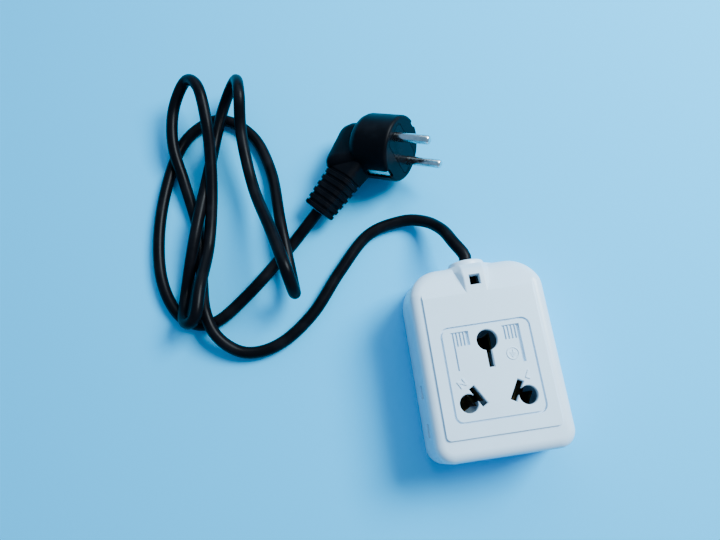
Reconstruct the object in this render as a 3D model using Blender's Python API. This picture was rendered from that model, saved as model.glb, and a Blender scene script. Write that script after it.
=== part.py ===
"""Universal socket box on a flexible cord with a moulded side-entry plug.

Row frame: the box stands on z = 0 with its length along Y, the cord leaves at +Y, Z is up.
"""
import math

import bmesh
import bpy
from mathutils import Euler, Vector

mm = 0.001

# box, outside
box_half_width = 32.0 * mm
box_south = -45.0 * mm
box_north = 43.3 * mm
box_height = 35.0 * mm
corner_south = 8.0 * mm
corner_north = 15.0 * mm
wall_draft = math.tan(math.radians(3.7))
edge_fillet = 4.3 * mm
wall = 2.0 * mm
roof = 2.7 * mm
fit_gap = 0.3 * mm
sunk = 0.04 * mm
cutter_over = 1.0 * mm

# base plate
base_thick = 3.0 * mm
base_inset = 0.3 * mm
base_chamfer = 0.6 * mm
post_half = 5.0 * mm
post_margin = 1.0 * mm

# raised platform, sloping end and socket panel
platform_rise = 1.0 * mm
platform_half_width = 24.6 * mm
platform_south = -33.6 * mm
platform_corner = 2.0 * mm
platform_end_corner = 0.5 * mm
crease_y = 27.5 * mm
slope = math.tan(math.radians(22.0))
slope_foot_z = 9.0 * mm
panel_half_width = 19.7 * mm
panel_south = -27.6 * mm
panel_north = 13.6 * mm
panel_corner = 3.8 * mm
panel_groove_width = 0.5 * mm
panel_groove_depth = 0.4 * mm

# pin holes of the universal socket
pole_half_spacing = 12.7 * mm
pole_y = -19.5 * mm
pole_hole_radius = 4.0 * mm
pole_slot_offset = 5.1 * mm
pole_slot_length = 9.0 * mm
pole_slot_width = 2.4 * mm
pole_slot_angle = math.radians(30.0)
earth_y = 5.9 * mm
earth_hole_radius = 4.55 * mm
earth_slot_end = 11.5 * mm
earth_slot_width = 2.1 * mm

# moulded combs beside the earth hole
comb_inner_x = 8.1 * mm
comb_top_y = 11.0 * mm
comb_pitch = 1.55 * mm
comb_teeth = 5
comb_short = 6.2 * mm
comb_long = 16.5 * mm
comb_thin = 0.45 * mm
comb_wide = 1.15 * mm
comb_depth = 0.4 * mm

# cord hood, collar and window
cord_height = 22.0 * mm
hood_half_width = 4.8 * mm
hood_flank = math.tan(math.radians(35.0))
hood_foot_drop = 12.0 * mm
hood_lead = 4.0 * mm
hood_shoulder_y = 38.2 * mm
hood_end_drop = 5.0 * mm
collar_reach = 1.2 * mm
collar_radius = 8.4 * mm
collar_z = 20.5 * mm
collar_depth = 6.0 * mm
bore_depth = 12.0 * mm
window_size = 4.7 * mm
window_y = 33.2 * mm

# cord
cord_radius = 3.0 * mm
cord_bore_gap = 0.3 * mm
core_radius = 1.25 * mm
conductor_radius = 0.6 * mm
jacket_end_y = 19.0 * mm
# where each core leaves the jacket, across and up from its middle, and the bends that it then takes
core_routes = {
    "neutral": ((-1.45 * mm, 0.85 * mm),
                ((-8.0 * mm, 13.5 * mm, 23.0 * mm), (-18.5 * mm, 9.0 * mm, 15.5 * mm))),
    "earth": ((0.0, -1.6 * mm),
              ((-2.6 * mm, 14.8 * mm, 17.0 * mm), (-8.0 * mm, 16.6 * mm, 12.8 * mm))),
    "live": ((1.45 * mm, 0.85 * mm),
             ((8.0 * mm, 13.5 * mm, 23.0 * mm), (18.5 * mm, 9.0 * mm, 15.5 * mm)))}

# snap hooks and their windows in the side walls
hook_places = (-11.6 * mm, -28.5 * mm)
hook_window_length = 6.0 * mm
hook_window_height = 5.0 * mm
hook_window_z = 22.0 * mm
hook_thick = 1.6 * mm
hook_nose = 0.9 * mm
hook_nose_height = 2.0 * mm
hook_slant = 1.2 * mm
hook_cut_inset = 1.0 * mm
hook_cut_reach = 5.0 * mm

# brass contacts
strip = 0.6 * mm
contact_floor_z = 6.0 * mm
contact_top_z = 24.0 * mm
contact_depth = 7.0 * mm
round_grip = 2.95 * mm
blade_grip_far = 1.6 * mm
terminal_size = 6.0 * mm
terminal_height = 7.0 * mm
terminal_screw_radius = 1.4 * mm
terminal_head_radius = 2.3 * mm
terminal_head_height = 1.4 * mm
terminal_place = {"neutral": (-20.0 * mm, -5.0 * mm), "earth": (-9.5 * mm, 9.0 * mm),
                  "live": (20.0 * mm, -5.0 * mm)}
wire_hole_radius = 1.0 * mm
wire_height = contact_floor_z + strip + wire_hole_radius + 0.6 * mm
screw_clearance = 0.3 * mm
arm_half_width = 2.2 * mm

# cord clamp inside the box
clamp_y = 24.0 * mm
clamp_width = 6.0 * mm
clamp_half_length = 10.5 * mm
clamp_thick = 2.0 * mm
clamp_screw_x = 7.3 * mm
clamp_screw_radius = 1.3 * mm
screw_slot_width = 0.6 * mm
clamp_head_radius = 2.3 * mm
clamp_head_height = 1.3 * mm
clamp_screw_length = 9.0 * mm
saddle_margin = 1.0 * mm
saddle_top = cord_height - cord_radius - fit_gap

# plug
plug_place = (-19.9 * mm, 106.5 * mm, 22.8 * mm)
plug_azimuth = math.radians(-29.0)
plug_tilt = math.radians(25.0)
plug_roll = math.radians(84.0)
face_radius = 16.3 * mm
face_chamfer = 1.6 * mm
pin_half_spacing = 9.4 * mm
pin_radius = 2.25 * mm
pin_length = 18.6 * mm
pin_tail = 9.0 * mm
carrier_half_width = 12.6 * mm
carrier_half_height = 7.0 * mm
carrier_depth = 8.0 * mm
carrier_corner = 3.0 * mm
# chamber behind the carrier: distance behind the face, half width and half height
chamber = ((17.0 * mm, 12.6 * mm, 7.0 * mm), (22.5 * mm, 7.0 * mm, 6.0 * mm), (26.0 * mm, 6.0 * mm, 5.5 * mm))
clip_width = 4.6 * mm
clip_thick = 0.8 * mm
clip_length = 13.0 * mm
clip_front_gap = 1.0 * mm
clip_slot_depth = 2.2 * mm
bridge_depth = 2.0 * mm
bridge_inset = 0.5 * mm

# back of the drum: distance behind the face and radius
drum_back = ((18.0 * mm, 16.3 * mm), (21.0 * mm, 14.9 * mm), (24.0 * mm, 11.7 * mm))
# rear block of the plug: distance behind the face, half width, and reach away from and to the cord
rear_block = ((14.0 * mm, 9.5 * mm, 10.0 * mm, 13.0 * mm), (30.0 * mm, 9.0 * mm, 8.6 * mm, 18.5 * mm),
              (33.5 * mm, 8.2 * mm, 7.0 * mm, 19.0 * mm), (35.4 * mm, 6.6 * mm, 4.8 * mm, 17.5 * mm))
rear_corner = 4.5 * mm

# strain relief: middle line from inside the drum to the end where the cord leaves
relief_spine = ((-20.0 * mm, 0.0, 0.0), (-22.5 * mm, 0.0, 10.0 * mm), (-25.5 * mm, -0.6 * mm, 19.0 * mm),
                (-29.2 * mm, -1.9 * mm, 29.5 * mm), (-33.4 * mm, -3.6 * mm, 40.5 * mm))
relief_half_width = (9.8 * mm, 7.8 * mm)
relief_half_thick = (7.4 * mm, 5.5 * mm)
relief_corner = 3.6 * mm
relief_rib_depth = 0.8 * mm
relief_plain_share = 0.5

# The way that the free cord lies, chosen by hand, in millimetres.
cord_route = (
    (0, 44.8, 22), (0, 48.5, 22), (-3.4, 55.7, 20), (-6.9, 64.7, 14.5), (-13.7, 72.4, 7.5),
    (-25, 75.6, 3.6), (-43, 71, 3.3), (-60, 54, 3.3), (-76, 35, 3.3), (-94, 22.5, 3.3),
    (-111, 20.5, 3.7), (-123, 29, 7.8), (-128, 43, 9.8), (-129.5, 64, 4.8), (-130, 88, 3.3),
    (-134.5, 114, 5), (-137.5, 134, 10), (-135, 153, 13), (-126, 165, 19), (-118, 157, 25.5),
    (-116, 140, 22), (-117, 122, 15.5), (-120, 99, 9.5), (-124, 76, 8), (-127.5, 54, 17),
    (-131, 38.5, 18), (-138, 39.5, 11.5), (-138, 55, 4.8), (-129.5, 84, 9.8), (-119, 122, 8),
    (-109.5, 151, 9.5), (-100, 162.5, 17), (-97, 149, 26.5), (-99.5, 130, 18), (-97, 102, 14),
    (-89, 74, 24), (-83.5, 53, 31), (-82, 43, 20.5), (-83.5, 52, 10.2), (-86, 82, 9.4),
    (-88.5, 114, 3.6), (-97, 137.5, 3.3), (-115, 149, 3.3), (-135, 136.5, 3.3), (-148, 102, 3.3),
    (-151, 68, 3.3), (-143, 44.5, 3.3), (-127, 37.5, 3.3), (-108, 49, 3.3), (-86, 68.5, 3.3))
cord_pitch = 14.2 * mm
cord_plug_lead = 12.0 * mm
cord_plug_lift = 0.3 * mm


def clear_scene():
    for item in list(bpy.data.objects):
        bpy.data.objects.remove(item, do_unlink=True)


def make_material(name, colour, roughness, metallic=0.0):
    material = bpy.data.materials.new(name)
    material.use_nodes = True
    shader = material.node_tree.nodes["Principled BSDF"]
    shader.inputs["Base Color"].default_value = (*colour, 1.0)
    shader.inputs["Roughness"].default_value = roughness
    shader.inputs["Metallic"].default_value = metallic
    return material


def add_object(name, mesh_data, material, parent=None):
    mesh = bpy.data.meshes.new(name)
    mesh_data.normal_update()
    bmesh.ops.recalc_face_normals(mesh_data, faces=mesh_data.faces)
    mesh_data.to_mesh(mesh)
    mesh_data.free()
    item = bpy.data.objects.new(name, mesh)
    bpy.context.collection.objects.link(item)
    item.parent = parent
    if material is not None:
        mesh.materials.append(material)
        mesh.shade_smooth()
        item.select_set(True)
        bpy.context.view_layer.objects.active = item
        bpy.ops.object.shade_smooth_by_angle(angle=math.radians(35.0))
        item.select_set(False)
    return item


def add_cutter(name, mesh_data, parent=None):
    item = add_object(name, mesh_data, None, parent)
    item.hide_render = True
    item.display_type = "WIRE"
    return item


def combine(target, tool, operation):
    modifier = target.modifiers.new(tool.name, "BOOLEAN")
    modifier.operation = operation
    modifier.solver = "EXACT"
    modifier.object = tool


def add_rings(mesh_data, rings):
    """A closed skin through rings that all hold the same number of points."""
    loops = [[mesh_data.verts.new(point) for point in ring] for ring in rings]
    count = len(loops[0])
    for low, high in zip(loops, loops[1:]):
        for k in range(count):
            after = (k + 1) % count
            mesh_data.faces.new((low[k], low[after], high[after], high[k]))
    mesh_data.faces.new(list(reversed(loops[0])))
    mesh_data.faces.new(loops[-1])


def loft(rings):
    mesh_data = bmesh.new()
    add_rings(mesh_data, rings)
    return mesh_data


def rounded_outline(low_x, high_x, low_y, high_y, low_corner, high_corner, steps=8):
    """Counter-clockwise outline with one corner radius at low Y and another at high Y."""
    corners = ((high_x - low_corner, low_y + low_corner, low_corner, -90.0),
               (high_x - high_corner, high_y - high_corner, high_corner, 0.0),
               (low_x + high_corner, high_y - high_corner, high_corner, 90.0),
               (low_x + low_corner, low_y + low_corner, low_corner, 180.0))
    outline = []
    for centre_x, centre_y, radius, start in corners:
        for step in range(steps + 1):
            angle = math.radians(start + 90.0 * step / steps)
            outline.append((centre_x + radius * math.cos(angle), centre_y + radius * math.sin(angle)))
    return outline


def box_outline(inset, steps=8):
    return rounded_outline(-box_half_width + inset, box_half_width - inset, box_south + inset,
                           box_north - inset, corner_south - min(inset, corner_south - 0.5 * mm),
                           corner_north - inset, steps)


def prism(outline, low_z, high_z):
    return loft([[(x, y, low_z) for x, y in outline], [(x, y, high_z) for x, y in outline]])


def block(low, high):
    outline = ((low[0], low[1]), (high[0], low[1]), (high[0], high[1]), (low[0], high[1]))
    return prism(outline, low[2], high[2])


def add_block(mesh_data, low, high):
    outline = ((low[0], low[1]), (high[0], low[1]), (high[0], high[1]), (low[0], high[1]))
    add_rings(mesh_data, [[(x, y, z) for x, y in outline] for z in (low[2], high[2])])


def circle(radius, segments=24):
    turns = [2.0 * math.pi * k / segments for k in range(segments)]
    return [(radius * math.cos(turn), radius * math.sin(turn)) for turn in turns]


def add_cylinder(mesh_data, centre, radius, low_z, high_z, segments=24):
    points = circle(radius, segments)
    add_rings(mesh_data, [[(centre[0] + x, centre[1] + y, z) for x, y in points]
                          for z in (low_z, high_z)])


def add_slot(mesh_data, centre, length, width, angle, low_z, high_z):
    along = Vector((math.sin(angle), math.cos(angle)))
    across = Vector((along.y, -along.x))
    corners = ((-1, -1), (-1, 1), (1, 1), (1, -1))
    outline = [Vector(centre) + along * (a * length / 2) + across * (b * width / 2) for a, b in corners]
    add_rings(mesh_data, [[(point.x, point.y, z) for point in outline] for z in (low_z, high_z)])


def sweep_rings(path, sections, up=Vector((0.0, 0.0, 1.0))):
    """Rings square to a path; sections holds one outline for each point of the path."""
    rings = []
    for k, centre in enumerate(path):
        ahead = path[min(k + 1, len(path) - 1)] - path[max(k - 1, 0)]
        ahead.normalize()
        side = up.cross(ahead).normalized()
        top = ahead.cross(side)
        rings.append([centre + side * x + top * y for x, y in sections[k]])
    return rings


def smooth_path(points, samples=16):
    """Points along a Catmull-Rom curve through the given points."""
    padded = [points[0] * 2 - points[1], *points, points[-1] * 2 - points[-2]]
    path = []
    for a, b, c, d in zip(padded, padded[1:], padded[2:], padded[3:]):
        for step in range(samples):
            t = step / samples
            path.append(0.5 * (2 * b + (c - a) * t + (2 * a - 5 * b + 4 * c - d) * t * t
                               + (3 * b - a - 3 * c + d) * t ** 3))
    path.append(points[-1].copy())
    return path


def even_path(path, pitch):
    """The same path with points at an even distance, no further apart than pitch."""
    lengths = [0.0]
    for a, b in zip(path, path[1:]):
        lengths.append(lengths[-1] + (b - a).length)
    count = math.ceil(lengths[-1] / pitch)
    result = []
    k = 0
    for step in range(count + 1):
        wanted = lengths[-1] * step / count
        while k < len(path) - 2 and lengths[k + 1] < wanted:
            k += 1
        share = (wanted - lengths[k]) / (lengths[k + 1] - lengths[k])
        result.append(path[k].lerp(path[k + 1], min(share, 1.0)))
    return result


def add_wire(name, points, radius, material, parent=None, pitch=None):
    """A tube along a smooth curve; short straight ends keep its end faces square."""
    points = [Vector(point) for point in points]
    lead = 0.5 * radius
    ends = (points[0], points[-1])
    points[0] = points[0] + (points[1] - points[0]).normalized() * lead
    points[-1] = points[-1] + (points[-2] - points[-1]).normalized() * lead
    path = even_path(smooth_path(points), pitch or 2.4 * radius)
    path = [ends[0], *path, ends[1]]
    data = bpy.data.curves.new(name, "CURVE")
    data.dimensions = "3D"
    data.bevel_depth = radius
    data.bevel_resolution = 3
    data.use_fill_caps = True
    spline = data.splines.new("POLY")
    spline.points.add(len(path) - 1)
    for place, point in zip(spline.points, path):
        place.co = (*point, 1.0)
    spline.use_smooth = True
    data.materials.append(material)
    item = bpy.data.objects.new(name, data)
    bpy.context.collection.objects.link(item)
    item.parent = parent
    return item


def drop_to_slope(mesh_data, top_z, crease):
    """Lower everything north of the crease so that the flat top becomes the sloping end."""
    geometry = mesh_data.verts[:] + mesh_data.edges[:] + mesh_data.faces[:]
    bmesh.ops.bisect_plane(mesh_data, geom=geometry, plane_co=(0.0, crease, 0.0), plane_no=(0.0, 1.0, 0.0))
    for vertex in mesh_data.verts:
        share = (vertex.co.z - slope_foot_z) / (top_z - slope_foot_z)
        if vertex.co.y > crease and share > 0.0:
            vertex.co.z -= (vertex.co.y - crease) * slope * share


def shell_solid(inset, low_z, top_z, fillet):
    """Drafted, filleted solid that follows the outline of the box at the given inset."""
    shoulder = top_z - fillet
    rings = []
    for z in (low_z, 9.0 * mm, 18.0 * mm, shoulder):
        rings.append([(x, y, z) for x, y in box_outline(inset + z * wall_draft)])
    for step in range(1, 7):
        angle = math.radians(15.0 * step)
        extra = fillet * (1.0 - math.cos(angle))
        z = shoulder + fillet * math.sin(angle)
        rings.append([(x, y, z) for x, y in box_outline(inset + shoulder * wall_draft + extra)])
    mesh_data = loft(rings)
    drop_to_slope(mesh_data, top_z, crease_y + platform_rise / slope)
    return mesh_data


def socket_holes(low_z, high_z):
    mesh_data = bmesh.new()
    add_cylinder(mesh_data, (0.0, earth_y), earth_hole_radius, low_z, high_z, 32)
    for side in (-1, 1):
        add_cylinder(mesh_data, (side * pole_half_spacing, pole_y), pole_hole_radius, low_z, high_z, 32)
    return mesh_data


def socket_slots(low_z, high_z):
    mesh_data = bmesh.new()
    add_slot(mesh_data, (0.0, earth_y - earth_slot_end / 2), earth_slot_end, earth_slot_width, 0.0,
             low_z, high_z)
    for side in (-1, 1):
        toward = Vector((-side * math.cos(pole_slot_angle), math.sin(pole_slot_angle)))
        centre = Vector((side * pole_half_spacing, pole_y)) + toward * pole_slot_offset
        add_slot(mesh_data, centre, pole_slot_length, pole_slot_width, side * pole_slot_angle,
                 low_z, high_z)
    return mesh_data


def comb_grooves(top_z):
    """The two moulded combs beside the earth hole, each with one long tooth and one wide tooth."""
    grooves = bmesh.new()
    last = comb_teeth - 1
    for side in (-1, 1):
        for k in range(comb_teeth):
            x = side * (comb_inner_x + k * comb_pitch)
            length = comb_long if k == last else comb_short
            wide = comb_wide if k == (0 if side < 0 else last) else comb_thin
            add_block(grooves, (x - wide / 2, comb_top_y - length, top_z - comb_depth),
                      (x + wide / 2, comb_top_y, top_z + cutter_over))
    return grooves


def panel_groove(top_z):
    """Closed groove round the socket panel."""
    lines = []
    for inset in (0.0, panel_groove_width):
        lines.append(rounded_outline(-panel_half_width + inset, panel_half_width - inset,
                                     panel_south + inset, panel_north - inset,
                                     panel_corner - inset, panel_corner - inset, 5))
    groove = bmesh.new()
    add_frame(groove, lines[0], lines[1], (top_z - panel_groove_depth, top_z + cutter_over))
    return groove


def platform_solid(face_z):
    """Raised platform; its north end follows the sloping end of the cover, a little sunk."""
    low_z = box_height - wall / 2
    outline = rounded_outline(-platform_half_width, platform_half_width, platform_south,
                              crease_y, platform_corner, platform_end_corner, 4)
    low_ring = []
    for x, y in outline:
        share = max(0.0, y - crease_y + cutter_over) / cutter_over
        low_ring.append((x, y + share * (face_z - low_z - sunk) / slope, low_z))
    return loft([low_ring, [(x, y, face_z) for x, y in outline]])


def hood_solid(face_z):
    """Ridge over the cord: level top with two flanks, rounded down at its north end."""
    foot = face_z - hood_foot_drop
    end_y = box_north - foot * wall_draft
    middle_y = (hood_shoulder_y + end_y) / 2
    rings = []
    for y, drop in ((crease_y - hood_lead, sunk / 2), (hood_shoulder_y, sunk / 2),
                    (middle_y, hood_end_drop * 0.35), (end_y, hood_end_drop)):
        flank = hood_half_width + hood_foot_drop * hood_flank
        top = face_z - drop
        rings.append([(-flank, y, foot), (-hood_half_width, y, top), (hood_half_width, y, top),
                      (flank, y, foot)])
    return loft(rings)


def cover_openings():
    """Square window over the cord and the snap windows in the side walls."""
    openings = bmesh.new()
    half = window_size / 2
    add_block(openings, (-half, window_y - half, cord_height),
              (half, window_y + half, box_height + platform_rise + cutter_over))
    half_length = hook_window_length / 2
    half_height = hook_window_height / 2
    for side in (-1, 1):
        x = side * (box_half_width - hook_cut_inset)
        for y in hook_places:
            add_block(openings, (x - hook_cut_reach, y - half_length, hook_window_z - half_height),
                      (x + hook_cut_reach, y + half_length, hook_window_z + half_height))
    return openings


def make_top_cover(material):
    face_z = box_height + platform_rise
    cover = add_object("top_cover", shell_solid(0.0, base_thick + fit_gap, box_height, edge_fillet), material)
    combine(cover, add_cutter("add_platform", platform_solid(face_z)), "UNION")
    combine(cover, add_cutter("add_hood", hood_solid(face_z)), "UNION")
    collar = loft(sweep_rings([Vector((0.0, box_north - collar_depth, collar_z)),
                               Vector((0.0, box_north + collar_reach, collar_z))],
                              [circle(collar_radius, 32)] * 2))
    combine(cover, add_cutter("add_collar", collar), "UNION")

    inner = shell_solid(wall, -wall, face_z - roof, edge_fillet - wall)
    combine(cover, add_cutter("cut_cavity", inner), "DIFFERENCE")
    low_z = face_z - 4.0 * roof
    high_z = face_z + cutter_over
    combine(cover, add_cutter("cut_round_holes", socket_holes(low_z, high_z)), "DIFFERENCE")
    combine(cover, add_cutter("cut_slots", socket_slots(low_z + sunk, high_z - sunk)), "DIFFERENCE")
    combine(cover, add_cutter("cut_combs", comb_grooves(face_z)), "DIFFERENCE")
    combine(cover, add_cutter("cut_panel_groove", panel_groove(face_z)), "DIFFERENCE")
    combine(cover, add_cutter("cut_windows", cover_openings()), "DIFFERENCE")
    bore = loft(sweep_rings([Vector((0.0, box_north - bore_depth, cord_height)),
                             Vector((0.0, box_north + collar_reach + cutter_over, cord_height))],
                            [circle(cord_radius + cord_bore_gap)] * 2))
    combine(cover, add_cutter("cut_cord_bore", bore), "DIFFERENCE")
    return cover


def add_frame(mesh_data, outer_line, inner_line, levels):
    """A closed ring between two outlines with the same number of points."""
    count = len(outer_line)
    loops = []
    for line, z in ((outer_line, levels[0]), (outer_line, levels[1]),
                    (inner_line, levels[1]), (inner_line, levels[0])):
        loops.append([mesh_data.verts.new((x, y, z)) for x, y in line])
    for low, high in zip(loops, loops[1:] + loops[:1]):
        for k in range(count):
            after = (k + 1) % count
            mesh_data.faces.new((low[k], low[after], high[after], high[k]))


def make_base_plate(material):
    outline = box_outline(base_inset)
    foot = box_outline(base_inset + base_chamfer)
    plate = loft([[(x, y, 0.0) for x, y in foot], [(x, y, base_chamfer) for x, y in outline],
                  [(x, y, base_thick) for x, y in outline]])
    base = add_object("base_plate", plate, material)

    posts = bmesh.new()
    low_z = base_thick - post_margin
    top_z = contact_floor_z - fit_gap
    for side in (-1, 1):
        for y in hook_places:
            add_hook(posts, side, y, low_z)
        x = side * pole_half_spacing
        add_block(posts, (x - post_half, pole_y - post_half, low_z),
                  (x + post_half, pole_y + post_half, top_z))
    add_block(posts, (-post_half, earth_y - post_half - post_margin, low_z),
              (post_half, earth_y + post_half / 2, top_z))
    half_depth = clamp_width / 2 + saddle_margin
    add_block(posts, (-clamp_half_length, clamp_y - half_depth, low_z),
              (clamp_half_length, clamp_y + half_depth, saddle_top))
    combine(base, add_cutter("add_posts", posts), "UNION")

    holes = bmesh.new()
    for side in (-1, 1):
        add_cylinder(holes, (side * clamp_screw_x, clamp_y), clamp_screw_radius + screw_clearance,
                     saddle_top - clamp_screw_length, saddle_top + cutter_over)
    combine(base, add_cutter("cut_pilot_holes", holes), "DIFFERENCE")
    return base


def add_hook(mesh_data, side, y, low_z):
    """One snap hook: a tab that stands on the base, with a nose in the window of the cover."""
    half = hook_window_length / 2 - fit_gap
    window_low = hook_window_z - hook_window_height / 2
    nose_low = window_low + fit_gap
    top = nose_low + hook_nose_height + hook_slant
    back = box_half_width - wall - (top + fit_gap) * wall_draft - fit_gap
    tip = back + hook_nose + fit_gap
    outline = ((back - hook_thick, low_z), (back, low_z), (back, nose_low), (tip, nose_low),
               (back, top), (back - hook_thick, top))
    add_rings(mesh_data, [[(side * x, y + step * half, z) for x, z in outline] for step in (-1, 1)])


def make_pole_contact(pole, side, material):
    """Three-leaf contact that grips a round pin or a flat blade, with a pillar terminal."""
    frame = bpy.data.objects.new(pole + "_frame", None)
    bpy.context.collection.objects.link(frame)
    frame.location = (side * pole_half_spacing, pole_y, 0.0)
    frame.rotation_euler = (0.0, 0.0, math.pi - pole_slot_angle if side > 0 else pole_slot_angle)
    left = -round_grip - strip
    middle = round_grip
    right = pole_slot_offset + blade_grip_far
    low_z = contact_floor_z
    top_z = contact_top_z
    outline = ((left, low_z), (right + strip, low_z), (right + strip, top_z), (right, top_z),
               (right, low_z + strip), (middle + strip, low_z + strip), (middle + strip, top_z),
               (middle, top_z), (middle, low_z + strip), (left + strip, low_z + strip),
               (left + strip, top_z), (left, top_z))
    half = contact_depth / 2
    body = loft([[(x, step * half, z) for x, z in outline] for step in (-1, 1)])
    contact = add_object(pole + "_contact", body, material, frame)

    start = Vector((side * (pole_half_spacing + strip * 2.5), pole_y))
    finish = Vector(terminal_place[pole])
    ahead = (finish - start).normalized()
    across = Vector((ahead.y, -ahead.x)) * arm_half_width
    corners = (start - across, finish - across, finish + across, start + across)
    arm = loft([[(point.x, point.y, z) for point in corners] for z in (low_z + sunk, low_z + strip)])
    combine(contact, add_cutter("add_arm_" + pole, arm), "UNION")
    add_terminal(contact, pole)
    return contact


def add_terminal(contact, pole):
    """Pillar with a screw hole from above and a hole for the wire from the cord's side."""
    x, y = terminal_place[pole]
    half = terminal_size / 2
    pillar = block((x - half, y - half, contact_floor_z + 2.5 * sunk),
                   (x + half, y + half, contact_floor_z + terminal_height))
    combine(contact, add_cutter("add_pillar_" + pole, pillar), "UNION")
    drill = bmesh.new()
    add_cylinder(drill, (x, y), terminal_screw_radius + screw_clearance, wire_height,
                 contact_floor_z + terminal_height + cutter_over, 16)
    combine(contact, add_cutter("cut_screw_hole_" + pole, drill), "DIFFERENCE")
    path = [Vector((x, y - half / 2, wire_height)), Vector((x, y + half + cutter_over, wire_height))]
    wire = loft(sweep_rings(path, [circle(wire_hole_radius, 16)] * 2))
    combine(contact, add_cutter("cut_wire_hole_" + pole, wire), "DIFFERENCE")


def make_earth_contact(material):
    """Two leaves that grip the round earth pin and, closer together, the flat one."""
    low_z = contact_floor_z
    north = earth_y + 4.0 * mm
    narrow = earth_y - post_half
    close = earth_slot_width / 2 + 0.2 * mm
    floor = block((-round_grip - strip, narrow, low_z), (round_grip + strip, north, low_z + strip))
    contact = add_object("earth_contact", floor, material)
    leaves = bmesh.new()
    stations = ((north, round_grip), (narrow + 2.0 * mm, round_grip), (narrow, close),
                (earth_y - earth_slot_end + cutter_over, close))
    for side in (-1, 1):
        outline = [(side * x, y) for y, x in stations]
        outline += [(side * (x + strip), y) for y, x in reversed(stations)]
        add_rings(leaves, [[(x, y, z) for x, y in outline] for z in (low_z + sunk, contact_top_z)])
    combine(contact, add_cutter("add_earth_leaves", leaves), "UNION")
    x, y = terminal_place["earth"]
    arm = block((x, y - terminal_size / 2, low_z + sunk / 2),
                (-round_grip + cutter_over, y + cutter_over / 2, low_z + strip))
    combine(contact, add_cutter("add_arm_earth", arm), "UNION")
    add_terminal(contact, "earth")
    return contact


def make_screw(name, place, foot_z, head_z, radius, head_radius, head_height, material):
    """Slotted cheese-head screw that points down."""
    body = bmesh.new()
    rings = []
    for reach, z in ((radius * 0.6, foot_z), (radius, foot_z + radius * 0.5), (radius, head_z),
                     (head_radius, head_z), (head_radius, head_z + head_height * 0.8),
                     (head_radius * 0.88, head_z + head_height)):
        rings.append([(place[0] + x, place[1] + y, z) for x, y in circle(reach, 20)])
    add_rings(body, rings)
    screw = add_object(name, body, material)
    half = screw_slot_width / 2
    slot = block((place[0] - head_radius * 1.2, place[1] - half, head_z + head_height * 0.45),
                 (place[0] + head_radius * 1.2, place[1] + half, head_z + head_height * 1.5))
    combine(screw, add_cutter("cut_slot_" + name, slot), "DIFFERENCE")
    return screw


def make_terminal_screws(material):
    foot_z = wire_height + conductor_radius + 0.2 * mm
    head_z = contact_floor_z + terminal_height + 0.5 * mm
    for pole, place in terminal_place.items():
        make_screw(pole + "_terminal_screw", place, foot_z, head_z, terminal_screw_radius,
                   terminal_head_radius, terminal_head_height, material)


def make_cord_clamp(bar_material, screw_material):
    low_z = cord_height + cord_radius + fit_gap
    high_z = low_z + clamp_thick
    bar = block((-clamp_half_length, clamp_y - clamp_width / 2, low_z),
                (clamp_half_length, clamp_y + clamp_width / 2, high_z))
    clamp = add_object("cord_clamp", bar, bar_material)
    holes = bmesh.new()
    for side in (-1, 1):
        add_cylinder(holes, (side * clamp_screw_x, clamp_y), clamp_screw_radius + screw_clearance,
                     low_z - cutter_over, high_z + cutter_over)
    combine(clamp, add_cutter("cut_clamp_holes", holes), "DIFFERENCE")
    foot_z = saddle_top - clamp_screw_length + 1.0 * mm
    for name, side in (("left", -1), ("right", 1)):
        make_screw("clamp_screw_" + name, (side * clamp_screw_x, clamp_y), foot_z, high_z + fit_gap,
                   clamp_screw_radius, clamp_head_radius, clamp_head_height, screw_material)


def make_box_wiring(jacket_material, core_materials, copper):
    tail = loft(sweep_rings([Vector((0.0, jacket_end_y, cord_height)),
                             Vector((0.0, box_north + collar_reach, cord_height))],
                            [circle(cord_radius)] * 2))
    add_object("cord_tail", tail, jacket_material)
    for pole, (start, bends) in core_routes.items():
        x, y = terminal_place[pole]
        face_y = y + terminal_size / 2
        start_z = cord_height + start[1]
        route = [(start[0], jacket_end_y - reach * fit_gap, start_z) for reach in (1, 6)]
        route += bends
        route.append((x, face_y + 3.2 * mm, wire_height + 0.6 * mm))
        route.append((x, face_y + 0.8 * mm, wire_height))
        add_wire(pole + "_core", route, core_radius, core_materials[pole])
        end = loft(sweep_rings([Vector((x, y - 1.0 * mm, wire_height)),
                                Vector((x, face_y + 0.5 * mm, wire_height))],
                               [circle(conductor_radius, 12)] * 2))
        add_object(pole + "_conductor", end, copper)


def relief_rings(path):
    """Outlines of the strain relief: tapered, with ribs on its outer part."""
    rings = []
    first = round(len(path) * relief_plain_share)
    for k in range(len(path)):
        share = k / (len(path) - 1)
        half_width = relief_half_width[0] + (relief_half_width[1] - relief_half_width[0]) * share
        half_thick = relief_half_thick[0] + (relief_half_thick[1] - relief_half_thick[0]) * share
        if k > first and (k - first) % 4 in (1, 2):
            half_width -= relief_rib_depth
            half_thick -= relief_rib_depth
        rings.append(rounded_outline(-half_width, half_width, -half_thick, half_thick,
                                     relief_corner, relief_corner, 4))
    return rings


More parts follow.
